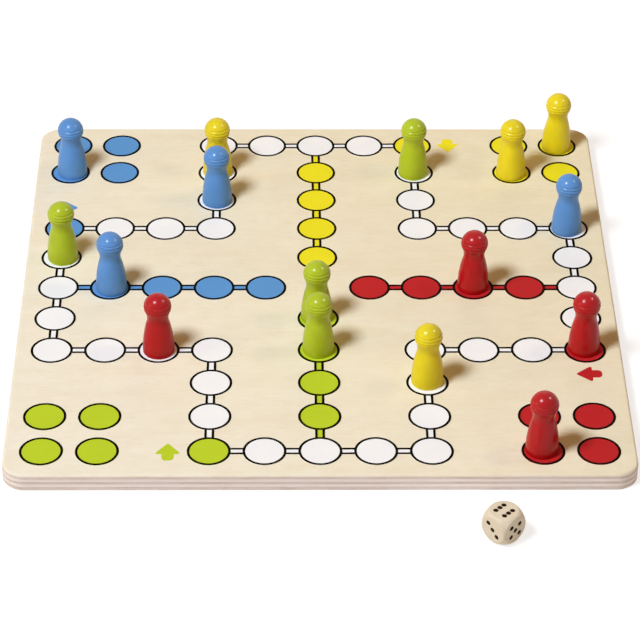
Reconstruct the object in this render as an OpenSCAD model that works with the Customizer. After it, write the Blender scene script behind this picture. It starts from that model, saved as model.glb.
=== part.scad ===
// Ludo board: a square plywood board with a printed track, turned wooden pawns and one die.
// Units are millimetres. +Z is up, +Y points to the far edge of the board.
// The origin is the centre of the board's underside.

/* [Board] */
// Distance between the centres of neighbouring fields
field_pitch = 26.4; // [25:0.1:32]
// Distance from the outermost field centres to the board's edge
edge_margin = 18; // [15:0.5:30]
// Thickness of the upper and the lower ply
face_ply_t = 2.25; // [1.6:0.05:2.8]
// Thickness of each of the three plies between them
inner_ply_t = 1.5; // [1.2:0.05:2.2]
// Radius of the board's corners seen from above
corner_r = 11; // [6:0.5:16]
// Radius of the rounded upper edge
upper_ease = 1.4; // [0.3:0.1:1.5]
// Radius of the rounded lower edge
lower_ease = 0.5; // [0.3:0.1:1.5]

/* [Printed fields] */
// Diameter over the black ring of a field
field_d = 20.8; // [18.4:0.1:22]
// Width of the black lines
line_w = 1.2; // [0.6:0.05:1.5]
// Width over the two black lines of a bar between fields
bar_w = 4.7; // [4:0.1:7]
// Thickness of one printed layer
ink_t = 0.12; // [0.08:0.02:0.3]

/* [Start arrows] */
// Width over the rounded tips of the arrow head
arrow_head_w = 11.2; // [9.6:0.2:13]
// Length of the arrow head from its rounded tip to its straight back
arrow_head_len = 7.6; // [5:0.2:9]
// Radius of the three tips of the arrow head
arrow_tip_r = 0.8; // [0.3:0.1:1.1]
// Width of the arrow stem
arrow_stem_w = 5.8; // [3:0.2:7]
// Radius of the two corners at the end of the stem
arrow_end_r = 2.2; // [0.5:0.1:2.2]
// Length of the arrow from its tip to the end of its stem
arrow_len = 12.4; // [11.8:0.1:15]
// Distance from a start field's centre sideways to the arrow's middle line
arrow_side = 19.4; // [18:0.2:22]
// Distance of the arrow's middle behind the start field's centre
arrow_back = 0.6; // [0:0.1:2]

/* [Pawns] */
// Greatest diameter of the pawn's bell
bell_d = 15.7; // [13:0.1:16.4]
// Height of the bell's greatest diameter
bell_wide_z = 1.6; // [1:0.1:5]
// Radius of the bell's outward curve
bell_r = 61; // [45:1:70]
// Diameter of the neck
neck_d = 10.6; // [9:0.1:11.4]
// Radius of the neck's hollow curve
hollow_r = 9.6; // [7:0.1:12]
// How far the neck's hollow cuts into the curves of the bell and the head
neck_bite = 0.03; // [0.02:0.01:0.06]
// Diameter of the ball head
head_d = 13.5; // [12.6:0.1:14.6]
// Height of the upper turned groove above the head's centre
groove_z = 2.4; // [1.6:0.1:3]
// Height between neighbouring turned grooves
groove_pitch = 1.6; // [1:0.1:1.7]
// Radius of the tool that cuts a groove
groove_r = 0.35; // [0.2:0.05:0.45]
// Depth of a groove
groove_depth = 0.2; // [0.1:0.02:0.3]
// Width of the eased lower edge
foot_ease = 0.4; // [0.2:0.1:1]

/* [Die] */
// Width of the die over its flat faces
die_w = 15; // [13:0.1:18]
// Diameter of the rounding ball as a multiple of the die's width
die_round_ratio = 1.35; // [1.28:0.01:1.55]
// Distance from the middle of a face to its outer pips, along each side
pip_pitch = 2.7; // [2.6:0.1:3]
// Diameter of a pip recess
pip_d = 2.5; // [1.6:0.1:2.5]
// Depth of a pip recess
pip_depth = 0.5; // [0.4:0.05:0.8]
// Thickness of the paint in a pip recess
pip_paint_t = 0.3; // [0.15:0.05:0.35]
// Gap between the pip paint and the recess wall
pip_gap = 0.05; // [0.03:0.01:0.1]
// Distance of the die's centre to the right of the board's middle
die_right = 83.7; // [0:0.1:120]
// Distance from the board's front edge to the die's centre
die_ahead = 32.3; // [15:0.1:60]
// Turn of the die on the table, in degrees
die_turn = 43.5; // [0:0.5:90]

/* [Hidden] */
$fn = 96;
// Number of fields from the board's middle to the end of an arm, and to the arm's side
reach_count = 5;
arm_count = 2;
inner_ply_count = 3;
quarter_count = 4;
board_w = 2 * (reach_count * field_pitch + edge_margin);
straight_w = board_w - 2 * corner_r;
board_t = 2 * face_ply_t + inner_ply_count * inner_ply_t;
fill_z = board_t;
outline_z = fill_z + ink_t;
stand_z = fill_z + ink_t;
ring_in_d = field_d - 2 * line_w;
bar_in_w = bar_w - 2 * line_w;
// The curves of the pawn's outline meet where the hollow bites into the bell and the head
bell_x = bell_d / 2 - bell_r;
hollow_x = neck_d / 2 + hollow_r;
head_r = head_d / 2;
neck_z = bell_wide_z + sqrt(pow(bell_r + hollow_r - neck_bite, 2) - pow(hollow_x - bell_x, 2));
head_z = neck_z + sqrt(pow(head_r + hollow_r - neck_bite, 2) - pow(hollow_x, 2));
bell_top_z = bell_wide_z + (neck_z - bell_wide_z) * bell_r / (bell_r + hollow_r);
head_low_z = head_z - (head_z - neck_z) * head_r / (head_r + hollow_r);
groove_count = 3;
// The round corners at the stem's end leave a flat between them
stem_end_r = min(arrow_end_r, 0.45 * arrow_stem_w);
// Straight pieces that an arc of a quarter turn or less is made of
arc_steps = 8;
// Room between a pawn standing in the middle of its field and the black ring
free_play = (ring_in_d - bell_d) / 2;
// Where each pawn stands: its field's column and row counted from the front left,
// and how far it is off the field's middle to the right and to the back, as a share of the free play
green_stands = [[5, 3, -0.14, 0.33], [5, 4, -0.56, 0.69], [7, 9, -0.41, -0.04], [0, 6, 0.61, 0.15]];
red_stands = [[9, 0, -0.53, 0.78], [2, 3, 0.12, -0.11], [10, 3, -0.46, 0.71], [8, 5, -0.09, 0.69]];
yellow_stands = [[7, 2, -0.1, 0.93], [9, 9, -0.38, -0.72], [10, 10, -0.35, -0.87], [3, 9, 0.04, 0.35]];
blue_stands = [[1, 5, 0.52, -0.35], [3, 8, 0.18, -0.32], [0, 9, 0.84, 0.17], [10, 7, -0.77, -0.41]];
// Turn of each colour's part of the print, in degrees
green_turn = 0;
red_turn = 90;
yellow_turn = 180;
blue_turn = 270;
// Number of pips on each side of the die, the turn that brings the side up, and the turn of its pattern
die_sides = [
    [6, [0, 0, 0], 90],
    [1, [180, 0, 0], 0],
    [3, [0, -90, 0], 90],
    [4, [0, 90, 0], 0],
    [5, [90, 0, 0], 0],
    [2, [-90, 0, 0], 0]
];
face_wood = [0.88, 0.80, 0.66];
cross_wood = [0.84, 0.74, 0.64];
core_wood = [0.76, 0.66, 0.55];
white_ink = [0.93, 0.91, 0.89];
green_ink = [0.72, 0.80, 0.16];
red_ink = [0.72, 0.14, 0.15];
yellow_ink = [0.92, 0.86, 0.14];
blue_ink = [0.36, 0.58, 0.80];
black_ink = [0.07, 0.06, 0.05];
die_wood = [0.89, 0.83, 0.72];
pip_paint = [0.14, 0.09, 0.05];

// Board shape seen from above
module board_outline() {
    square([board_w, straight_w], center = true);
    square([straight_w, board_w], center = true);
    for (x = [-1, 1])
        for (y = [-1, 1])
            translate([x, y] * straight_w / 2)
                circle(r = corner_r);
}

// One ply of thickness t, with its underside at height low
module ply(low, t) {
    translate([0, 0, low])
        linear_extrude(t)
            board_outline();
}

// One of the three plies between the faces, counted from the lowest
module inner_ply(level) {
    ply(face_ply_t + level * inner_ply_t, inner_ply_t);
}

// Waste that a rounding of radius r takes off along an edge, with the face at height 0
module ease_wedge(r) {
    polygon(concat(
        arc([-r, -r], r, 90, 0),
        [[r, -r], [r, r], [-r, r]]
    ));
}

// Waste of the rounding around the whole board, with the face at height 0
module ease_waste(r) {
    for (turn = [0 : 90 : 270]) {
        rotate([0, 0, turn])
            translate([board_w / 2, straight_w / 2, 0])
                rotate([90, 0, 0])
                    linear_extrude(straight_w)
                        ease_wedge(r);
        rotate([0, 0, turn])
            translate([straight_w / 2, straight_w / 2, 0])
                rotate_extrude(angle = 90)
                    translate([corner_r, 0])
                        ease_wedge(r);
    }
}

module top_veneer() {
    color(face_wood)
        difference() {
            ply(board_t - face_ply_t, face_ply_t);
            translate([0, 0, board_t])
                ease_waste(upper_ease);
        }
}

module upper_crossband() {
    color(cross_wood)
        inner_ply(2);
}

module core_ply() {
    color(core_wood)
        inner_ply(1);
}

module lower_crossband() {
    color(cross_wood)
        inner_ply(0);
}

module back_veneer() {
    color(face_wood)
        difference() {
            ply(0, face_ply_t);
            mirror([0, 0, 1])
                ease_waste(lower_ease);
        }
}

// A field of the grid, in steps from the board's middle
module field(x, y, d) {
    translate([x, y] * field_pitch)
        circle(d = d);
}

// A straight bar between two fields on one row or column
module bar(from, to, w) {
    run = [abs(to.x - from.x), abs(to.y - from.y)] * field_pitch;
    translate((from + to) / 2 * field_pitch)
        square([max(run.x, w), max(run.y, w)], center = true);
}

// The ten track fields of one quarter, from its start field onwards
module track_fields(d) {
    for (y = [-reach_count : -arm_count])
        field(-arm_count, y, d);
    for (x = [-reach_count : -arm_count - 1])
        field(x, -arm_count, d);
    for (y = [1 - arm_count : arm_count - 1])
        field(-reach_count, y, d);
}

// The bars of one quarter of the track, up to the next start field
module track_bars(w) {
    bar([-arm_count, -reach_count], [-arm_count, -arm_count], w);
    bar([-arm_count, -arm_count], [-reach_count, -arm_count], w);
    bar([-reach_count, -arm_count], [-reach_count, arm_count], w);
}

module home_fields(d) {
    for (y = [1 - reach_count : -1])
        field(0, y, d);
}

module home_bar(w) {
    bar([0, -reach_count], [0, -1], w);
}

module base_fields(d) {
    for (x = [-reach_count, 1 - reach_count])
        for (y = [-reach_count, 1 - reach_count])
            field(x, y, d);
}

module each_quarter() {
    for (q = [0 : quarter_count - 1])
        rotate([0, 0, q * 90])
            children();
}

module all_fields(d) {
    each_quarter() {
        track_fields(d);
        home_fields(d);
        base_fields(d);
    }
}

module all_bars(w) {
    each_quarter() {
        track_bars(w);
        home_bar(w);
    }
}

// White part of one quarter of the track, clear of the two start fields at its ends
module white_chain() {
    difference() {
        union() {
            track_fields(field_d);
            track_bars(bar_w);
        }
        field(-arm_count, -reach_count, field_d);
        field(-reach_count, arm_count, field_d);
    }
}

// Coloured part of one quarter: start field, base fields and home column
module colour_fields() {
    field(-arm_count, -reach_count, field_d);
    base_fields(field_d);
    difference() {
        union() {
            home_fields(field_d);
            home_bar(bar_w);
        }
        field(0, -reach_count, field_d);
    }
}

// Rings of all fields and side lines of all bars
module outlines() {
    difference() {
        union() {
            all_fields(field_d);
            all_bars(bar_w);
        }
        all_fields(ring_in_d);
        difference() {
            all_bars(bar_in_w);
            all_fields(field_d);
        }
    }
}

// Points along an arc from one angle to another
function arc(middle, r, from, to) = [
    for (k = [0 : arc_steps])
        let (angle = from + (to - from) * k / arc_steps)
            middle + r * [cos(angle), sin(angle)]
];

// Arrow pointing along +Y, with its middle at the origin
module arrow() {
    neck_y = arrow_len / 2 - arrow_head_len;
    // Centres of the rounded corners on the right half
    tip = [0, arrow_len / 2 - arrow_tip_r];
    side = [arrow_head_w / 2 - arrow_tip_r, neck_y + arrow_tip_r];
    end = [arrow_stem_w / 2 - stem_end_r, stem_end_r - arrow_len / 2];
    slope = atan2(side.x - tip.x, tip.y - side.y);
    right = concat(
        arc(end, stem_end_r, -90, 0),
        [[arrow_stem_w / 2, neck_y]],
        arc(side, arrow_tip_r, -90, slope),
        arc(tip, arrow_tip_r, slope, 90)
    );
    left = [for (k = [len(right) - 2 : -1 : 0]) [-right[k].x, right[k].y]];
    polygon(concat(right, left));
}

module fill_film() {
    translate([0, 0, fill_z])
        linear_extrude(ink_t)
            children();
}

module field_film(turn) {
    fill_film()
        rotate(turn)
            colour_fields();
}

module arrow_film(turn) {
    fill_film()
        rotate(turn)
            translate([-arm_count * field_pitch - arrow_side, -reach_count * field_pitch - arrow_back])
                arrow();
}

module white_track_ink() {
    color(white_ink)
        fill_film()
            each_quarter()
                white_chain();
}

module green_field_ink() {
    color(green_ink)
        field_film(green_turn);
}

module red_field_ink() {
    color(red_ink)
        field_film(red_turn);
}

module yellow_field_ink() {
    color(yellow_ink)
        field_film(yellow_turn);
}

module blue_field_ink() {
    color(blue_ink)
        field_film(blue_turn);
}

module outline_ink() {
    color(black_ink)
        translate([0, 0, outline_z])
            linear_extrude(ink_t)
                outlines();
}

module green_start_arrow() {
    color(green_ink)
        arrow_film(green_turn);
}

module red_start_arrow() {
    color(red_ink)
        arrow_film(red_turn);
}

module yellow_start_arrow() {
    color(yellow_ink)
        arrow_film(yellow_turn);
}

module blue_start_arrow() {
    color(blue_ink)
        arrow_film(blue_turn);
}

// Half outline of a pawn, with its axis at x = 0
module pawn_profile() {
    difference() {
        union() {
            // Bell
            intersection() {
                square([bell_d, neck_z]);
                translate([bell_x, bell_wide_z])
                    circle(r = bell_r);
            }
            // Neck before it is hollowed
            translate([0, bell_top_z])
                square([hollow_x, head_low_z - bell_top_z]);
            // Head
            intersection() {
                translate([0, neck_z])
                    square([head_d, head_z]);
                translate([0, head_z])
                    circle(r = head_r);
            }
        }
        // Hollow of the neck
        translate([hollow_x, neck_z])
            circle(r = hollow_r);
        // Grooves
        for (k = [0 : groove_count - 1]) {
            up = groove_z - k * groove_pitch;
            out = sqrt(pow(head_r, 2) - pow(up, 2));
            translate([0, head_z] + [out, up] * (1 + (groove_r - groove_depth) / head_r))
                circle(r = groove_r);
        }
        // Eased foot
        translate([bell_d / 2, 0])
            rotate(45)
                square(foot_ease * sqrt(2), center = true);
    }
}

// A pawn standing on a field
module pawn(stand) {
    field_x = (stand[0] - reach_count) * field_pitch;
    field_y = (stand[1] - reach_count) * field_pitch;
    translate([field_x + stand[2] * free_play, field_y + stand[3] * free_play, stand_z])
        rotate_extrude()
            pawn_profile();
}

module green_pawn_1() {
    color(green_ink)
        pawn(green_stands[0]);
}

module green_pawn_2() {
    color(green_ink)
        pawn(green_stands[1]);
}

module green_pawn_3() {
    color(green_ink)
        pawn(green_stands[2]);
}

module green_pawn_4() {
    color(green_ink)
        pawn(green_stands[3]);
}

module red_pawn_1() {
    color(red_ink)
        pawn(red_stands[0]);
}

module red_pawn_2() {
    color(red_ink)
        pawn(red_stands[1]);
}

module red_pawn_3() {
    color(red_ink)
        pawn(red_stands[2]);
}

module red_pawn_4() {
    color(red_ink)
        pawn(red_stands[3]);
}

module yellow_pawn_1() {
    color(yellow_ink)
        pawn(yellow_stands[0]);
}

module yellow_pawn_2() {
    color(yellow_ink)
        pawn(yellow_stands[1]);
}

module yellow_pawn_3() {
    color(yellow_ink)
        pawn(yellow_stands[2]);
}

module yellow_pawn_4() {
    color(yellow_ink)
        pawn(yellow_stands[3]);
}

module blue_pawn_1() {
    color(blue_ink)
        pawn(blue_stands[0]);
}

module blue_pawn_2() {
    color(blue_ink)
        pawn(blue_stands[1]);
}

module blue_pawn_3() {
    color(blue_ink)
        pawn(blue_stands[2]);
}

module blue_pawn_4() {
    color(blue_ink)
        pawn(blue_stands[3]);
}

// Places of the pips on a side, in pip steps from its middle
function pip_places(count) = concat(
    count % 2 == 1 ? [[0, 0]] : [],
    count > 1 ? [[-1, 1], [1, -1]] : [],
    count > 3 ? [[-1, -1], [1, 1]] : [],
    count > 5 ? [[-1, 0], [1, 0]] : []
);

// Puts the die on the table in front of the board
module on_table() {
    translate([die_right, -board_w / 2 - die_ahead, die_w / 2])
        rotate([0, 0, die_turn])
            children();
}

// A pin at every pip, standing on the floor of its recess
module pip_pins(d, h) {
    for (side = die_sides)
        rotate(side[1])
            rotate([0, 0, side[2]])
                for (place = pip_places(side[0]))
                    translate([place.x * pip_pitch, place.y * pip_pitch, die_w / 2 - pip_depth])
                        cylinder(d = d, h = h);
}

module die_cube() {
    color(die_wood)
        on_table()
            difference() {
                intersection() {
                    cube(die_w, center = true);
                    sphere(d = die_w * die_round_ratio);
                }
                pip_pins(pip_d, 2 * pip_depth);
            }
}

module die_pips() {
    color(pip_paint)
        on_table()
            pip_pins(pip_d - 2 * pip_gap, pip_paint_t);
}

top_veneer();
upper_crossband();
core_ply();
lower_crossband();
back_veneer();
white_track_ink();
green_field_ink();
red_field_ink();
yellow_field_ink();
blue_field_ink();
outline_ink();
green_start_arrow();
red_start_arrow();
yellow_start_arrow();
blue_start_arrow();
green_pawn_1();
green_pawn_2();
green_pawn_3();
green_pawn_4();
red_pawn_1();
red_pawn_2();
red_pawn_3();
red_pawn_4();
yellow_pawn_1();
yellow_pawn_2();
yellow_pawn_3();
yellow_pawn_4();
blue_pawn_1();
blue_pawn_2();
blue_pawn_3();
blue_pawn_4();
die_cube();
die_pips();
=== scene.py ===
"""Ludo board: printed plywood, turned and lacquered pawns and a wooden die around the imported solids."""

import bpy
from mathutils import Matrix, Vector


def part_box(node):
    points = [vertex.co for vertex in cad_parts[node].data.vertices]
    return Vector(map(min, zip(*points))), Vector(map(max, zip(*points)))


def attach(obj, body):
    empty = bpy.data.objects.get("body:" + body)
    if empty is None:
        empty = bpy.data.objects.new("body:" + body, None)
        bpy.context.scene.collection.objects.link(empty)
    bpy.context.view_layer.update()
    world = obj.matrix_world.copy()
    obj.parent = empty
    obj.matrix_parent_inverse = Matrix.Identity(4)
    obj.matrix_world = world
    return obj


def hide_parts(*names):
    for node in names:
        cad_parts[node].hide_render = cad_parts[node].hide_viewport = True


bl_info = {
    "name": "Ludo Board",
    "version": (1, 0, 0),
    "blender": (4, 5, 0),
    "location": "3D View > Sidebar > Ludo Board",
    "description": "Dresses a ludo board with plywood, print, pawns, a die and a studio stage",
    "category": "Add Mesh",
}

import math

import bmesh
import bpy
from mathutils import Euler, Matrix, Vector

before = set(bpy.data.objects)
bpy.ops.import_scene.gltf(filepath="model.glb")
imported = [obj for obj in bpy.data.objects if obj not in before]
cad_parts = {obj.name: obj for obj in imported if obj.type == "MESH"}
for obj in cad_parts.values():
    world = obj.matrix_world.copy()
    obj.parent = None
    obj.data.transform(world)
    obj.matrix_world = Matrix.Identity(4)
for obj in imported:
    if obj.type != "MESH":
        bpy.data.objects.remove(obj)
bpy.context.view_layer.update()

MM = 0.001
QUARTER = math.pi / 2
COLOURS = ("green", "red", "yellow", "blue")
QUARTER_TURNS = {colour: turns for turns, colour in enumerate(COLOURS)}
PAWNS_PER_COLOUR = 4
PLIES = ("back_veneer", "lower_crossband", "core_ply", "upper_crossband", "top_veneer")
board_low, board_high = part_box("back_veneer")[0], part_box("top_veneer")[1]
pawn_low, pawn_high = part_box("green_pawn_1")
die_low, die_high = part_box("die_cube")
die_middle = (die_low + die_high) / 2


# Settings


def linear(red, green, blue):
    """A colour given as display values from 0 to 255, as linear light."""
    shares = (v / 255 for v in (red, green, blue))
    return tuple(v / 12.92 if v <= 0.04045 else ((v + 0.055) / 1.055) ** 2.4 for v in shares)


def colour_property(name, description, red, green, blue):
    """A colour, given as display values from 0 to 255."""
    default = linear(red, green, blue)
    return bpy.props.FloatVectorProperty(
        name=name, description=description, default=default, subtype="COLOR", size=3, min=0, max=1
    )


def length_property(name, description, millimetres):
    """A length, given in millimetres."""
    default = millimetres * MM
    return bpy.props.FloatProperty(
        name=name, description=description, default=default, subtype="DISTANCE", unit="LENGTH", precision=5
    )


def place_property(name, description, x, y, z):
    """A place, given in metres."""
    at = (x, y, z)
    return bpy.props.FloatVectorProperty(
        name=name, description=description, default=at, subtype="TRANSLATION", unit="LENGTH", precision=6
    )


def angle_property(name, description, degrees):
    """An angle, given in degrees."""
    default = math.radians(degrees)
    return bpy.props.FloatProperty(name=name, description=description, default=default, subtype="ANGLE")


def number_property(name, description, number):
    return bpy.props.FloatProperty(name=name, description=description, default=number)


def count_property(name, description, count, least):
    return bpy.props.IntProperty(name=name, description=description, default=count, min=least)


class LudoBoardSettings(bpy.types.PropertyGroup):
    """Plywood of the board."""

    corner_radius: length_property("Corner radius", "Radius of the board's corners seen from above", 11)
    upper_radius: length_property("Upper radius", "Radius of the rounded upper edge", 1.4)
    lower_radius: length_property("Lower radius", "Radius of the rounded lower edge", 0.5)
    glue_line: length_property("Glue line", "Width and depth of the fine line between two plies", 0.05)
    corner_steps: count_property("Corner steps", "Faces around one corner", 20, 4)
    face_colour: colour_property("Face wood", "Colour of the palest wood on the face", 249, 245, 228)
    # Edge colours: partly the plies' own end-grain colour, partly painted light and shade on their upright
    # sides.
    dark_edge: colour_property("Dark edge", "Colour of the plies that look dark at the edge", 234, 222, 216)
    pale_edge: colour_property("Pale edge", "Colour of the plies that look pale at the edge", 254, 248, 246)
    # Painted shade: the face turns darker and yellower towards its right-hand back, where the light is
    # weaker.
    painted_shade_drift: colour_property("Painted shade drift", "Change of the face's colour towards its right", 248, 245, 232)


class LudoPrintSettings(bpy.types.PropertyGroup):
    """Printed track."""

    field_pitch: length_property("Field pitch", "Distance between neighbouring field centres", 26.4)
    field_diameter: length_property("Field diameter", "Diameter over the black ring of a field", 20.8)
    line_width: length_property("Line width", "Width of the black lines", 1.2)
    bar_width: length_property("Bar width", "Width over the two lines of a bar", 4.7)
    film: length_property("Film", "Thickness of one printed layer", 0.12)
    ring_segments: count_property("Ring segments", "Faces around a field", 72, 12)
    arrow_width: length_property("Arrow width", "Width over the rounded tips of a start arrow's head", 11.2)
    arrow_length: length_property("Arrow length", "Length of a start arrow", 12.4)
    arrow_head: length_property("Arrow head", "Length of a start arrow's head", 7.6)
    arrow_tip: length_property("Arrow tip", "Radius of the three tips of a start arrow", 0.8)
    arrow_stem: length_property("Arrow stem", "Width of a start arrow's stem", 5.8)
    arrow_end: length_property("Arrow end", "Radius of the corners at the end of the stem", 2.2)
    white: colour_property("White ink", "Colour of the white fields", 250, 253, 255)
    black: colour_property("Black ink", "Colour of the rings and lines", 17, 11, 5)
    green: colour_property("Green ink", "Colour of the green fields", 191, 214, 47)
    red: colour_property("Red ink", "Colour of the red fields", 192, 38, 42)
    yellow: colour_property("Yellow ink", "Colour of the yellow fields", 243, 233, 41)
    blue: colour_property("Blue ink", "Colour of the blue fields", 97, 156, 216)


class LudoPawnSettings(bpy.types.PropertyGroup):
    """Turned pawns."""

    bell_diameter: length_property("Bell diameter", "Greatest diameter of the bell", 15.7)
    bell_height: length_property("Bell height", "Height of the bell's greatest diameter", 1.6)
    bell_radius: length_property("Bell radius", "Radius of the bell's outward curve", 61)
    neck_diameter: length_property("Neck diameter", "Diameter of the neck", 10.6)
    hollow_radius: length_property("Hollow radius", "Radius of the neck's hollow curve", 9.6)
    head_diameter: length_property("Head diameter", "Diameter of the ball head", 13.5)
    groove_height: length_property("Groove height", "Height of the upper groove above the head's middle", 2.4)
    groove_pitch: length_property("Groove pitch", "Height between neighbouring grooves", 1.6)
    groove_depth: length_property("Groove depth", "Depth of a turned groove", 0.2)
    foot_radius: length_property("Foot radius", "Radius of the rounded lower edge", 0.4)
    segments: count_property("Segments", "Faces around a pawn", 96, 16)
    green: colour_property("Green lacquer", "Colour of the green pawns", 177, 197, 33)
    red: colour_property("Red lacquer", "Colour of the red pawns", 181, 15, 20)
    yellow: colour_property("Yellow lacquer", "Colour of the yellow pawns", 232, 214, 28)
    blue: colour_property("Blue lacquer", "Colour of the blue pawns", 92, 148, 215)


class LudoDieSettings(bpy.types.PropertyGroup):
    """Wooden die."""

    turn: angle_property("Turn", "Turn of the die on the table", 43.5)
    ball_share: number_property("Ball share", "Diameter of the rounding ball over the die's width", 1.35)
    edge_blend: length_property("Edge blend", "How softly the flat sides run into the rounding ball", 0.42)
    grid_steps: count_property("Grid steps", "Faces along a side of the die before it is drilled", 44, 8)
    pip_pitch: length_property("Pip pitch", "Distance from a side's middle to its outer pips", 2.7)
    pip_diameter: length_property("Pip diameter", "Diameter of a pip recess", 2.5)
    pip_depth: length_property("Pip depth", "Depth of a pip recess", 0.5)
    pip_segments: count_property("Pip segments", "Faces around a pip", 40, 8)
    paint_thickness: length_property("Paint thickness", "Thickness of the paint in a pip", 0.3)
    paint_gap: length_property("Paint gap", "Gap between the paint and the recess wall", 0.05)
    wood: colour_property("Die wood", "Colour of the die", 228, 218, 195)
    paint: colour_property("Pip paint", "Colour of the pips", 42, 25, 9)


class LudoStageSettings(bpy.types.PropertyGroup):
    """Camera, floor and light."""

    camera_place: place_property("Camera place", "Where the camera stands", -0.017207, -1.190169, 0.869793)
    camera_azimuth: angle_property("Azimuth", "Turn of the view to the right", 0.893218)
    camera_elevation: angle_property("Elevation", "Tilt of the view downwards", 36.515266)
    camera_roll: angle_property("Roll", "Roll of the camera about its view", 0.504219)
    lens: bpy.props.FloatProperty(name="Lens", description="Focal length", default=162.081, unit="CAMERA")
    key_place: place_property("Key place", "Where the key lamp hangs", -0.47, -0.425, 1.03)
    key_size: length_property("Key size", "Diameter of the key lamp", 320)
    key_strength: number_property("Key strength", "Strength of the key lamp", 9.14)
    key_colour: colour_property("Key colour", "Colour of the key lamp", 236, 244, 255)
    glint_place: place_property("Glint place", "Where the small second lamp hangs", 0.78, 0.06, 0.96)
    glint_size: length_property("Glint size", "Diameter of the second lamp", 150)
    glint_strength: number_property("Glint strength", "Strength of the second lamp", 0.95)
    sparkle_strength: number_property("Sparkle", "Strength of that lamp's mirror image in lacquer", 2.8)
    die_lamp_place: place_property("Die lamp place", "Where the narrow lamp stands", 0.396, -0.511, 0.219)
    die_lamp_cone: angle_property("Die lamp cone", "Width of the narrow lamp's beam", 3.7)
    die_lamp_size: length_property("Die lamp size", "Diameter of the narrow lamp", 37.5)
    die_lamp_strength: number_property("Die lamp strength", "Strength of the narrow lamp", 7.0)
    side_place: place_property("Side place", "Where the low lamp on the left hangs", -1.1, -0.35, 0.35)
    side_size: length_property("Side size", "Diameter of the low lamp on the left", 500)
    side_strength: number_property("Side strength", "Strength of the low lamp on the left", 1.4)
    back_place: place_property("Back place", "Where the weak lamp behind the board hangs", 0.12, 0.5, 0.4)
    back_size: length_property("Back size", "Diameter of the lamp behind the board", 300)
    back_strength: number_property("Back strength", "Strength of the lamp behind the board", 0.3)
    warm_colour: colour_property("Warm colour", "Colour of the second, left and back lamps", 255, 216, 155)
    fill_strength: number_property("Fill", "Strength of the light all around", 0.145)
    fill_colour: colour_property("Fill colour", "Colour of the light all around", 255, 186, 96)


# Nodes


def socket(group, key):
    """A node's socket, by identifier or else by name."""
    for item in group:
        if item.identifier == key:
            return item
    return group[key]


def feed(tree, target, value):
    """Link the value to the target if it is a socket, or else set it there."""
    if isinstance(value, bpy.types.NodeSocket):
        tree.links.new(value, target)
    else:
        target.default_value = value


def add(tree, kind, settings=None, **inputs):
    """A node with its settings and inputs; two underscores in an input's key stand for a space."""
    node = tree.nodes.new(kind)
    for key, value in (settings or {}).items():
        setattr(node, key, value)
    for key, value in inputs.items():
        feed(tree, socket(node.inputs, key.replace("__", " ")), value)
    return node


def math_node(tree, operation, *values):
    node = add(tree, "ShaderNodeMath", {"operation": operation})
    for target, value in zip(node.inputs, values):
        feed(tree, target, value)
    return node.outputs[0]


def ramp(tree, value, low, high, to_low=0.0, to_high=1.0, smooth=False):
    """The value's range from low to high, mapped and clamped."""
    kind = "SMOOTHSTEP" if smooth else "LINEAR"
    node = add(tree, "ShaderNodeMapRange", {"clamp": True, "interpolation_type": kind}, Value=value)
    for key, number in (("From Min", low), ("From Max", high), ("To Min", to_low), ("To Max", to_high)):
        node.inputs[key].default_value = number
    return node.outputs["Result"]


def blend_colour(tree, share, first, second, mode="MIX"):
    """Two colours, each a socket or a plain colour, blended by the share."""
    node = add(tree, "ShaderNodeMix", {"data_type": "RGBA", "blend_type": mode}, Factor_Float=share)
    for key, colour in (("A_Color", first), ("B_Color", second)):
        linked = isinstance(colour, bpy.types.NodeSocket)
        feed(tree, socket(node.inputs, key), colour if linked else (*colour, 1.0))
    return socket(node.outputs, "Result_Color")


def stretched_noise(tree, vector, fineness, detail, roughness, offset=(0, 0, 0)):
    """Noise with its own fineness along each axis."""
    place = add(tree, "ShaderNodeMapping", Vector=vector, Scale=fineness, Location=offset)
    noise = add(tree, "ShaderNodeTexNoise", Scale=1.0, Detail=detail, Roughness=roughness)
    tree.links.new(place.outputs[0], noise.inputs["Vector"])
    return noise.outputs[0]


def named_tree(name, maker):
    """The node group of that name, made on first use."""
    return bpy.data.node_groups.get(name) or maker(name)


# Effect groups


def start_group(name, **numbers):
    """A shader group with a vector input and these numbers as inputs, and its input sockets."""
    group = bpy.data.node_groups.new(name, "ShaderNodeTree")
    group.interface.new_socket(name="Vector", in_out="INPUT", socket_type="NodeSocketVector")
    for key, number in numbers.items():
        item = group.interface.new_socket(name=key, in_out="INPUT", socket_type="NodeSocketFloat")
        item.default_value = number
    return group, group.nodes.new("NodeGroupInput").outputs


def end_group(group, **results):
    """Give the group an output for each result."""
    for key in results:
        group.interface.new_socket(name=key, in_out="OUTPUT", socket_type="NodeSocketFloat")
    out = group.nodes.new("NodeGroupOutput").inputs
    for key, result in results.items():
        group.links.new(result, out[key])
    return group


def wood_figure_group(name):
    """Grain that runs along X: broad figure, fibre, pores, and the height of fibre and pores."""
    group, given = start_group(name, Fineness=1.0)
    scaled = add(
        group, "ShaderNodeVectorMath", {"operation": "SCALE"}, Vector=given["Vector"], Scale=given["Fineness"]
    )
    grain = scaled.outputs[0]
    bands = stretched_noise(group, grain, (8, 62, 62), 4.0, 0.6)
    mottle = stretched_noise(group, grain, (85, 140, 140), 3.0, 0.6, (3.1, 7.7, 1.3))
    fibre = stretched_noise(group, grain, (60, 1100, 1100), 3.0, 0.65, (1.7, 0.3, 5.1))
    dashes = stretched_noise(group, grain, (190, 2100, 2100), 1.0, 0.5, (0.9, 4.2, 2.6))
    pores = ramp(group, dashes, 0.60, 0.74, smooth=True)
    figure = math_node(group, "MULTIPLY_ADD", mottle, 0.6, math_node(group, "MULTIPLY", bands, 0.4))
    height = math_node(group, "SUBTRACT", fibre, math_node(group, "MULTIPLY", pores, 0.8))
    return end_group(group, Figure=figure, Fibre=fibre, Pores=pores, Height=height)


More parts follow.
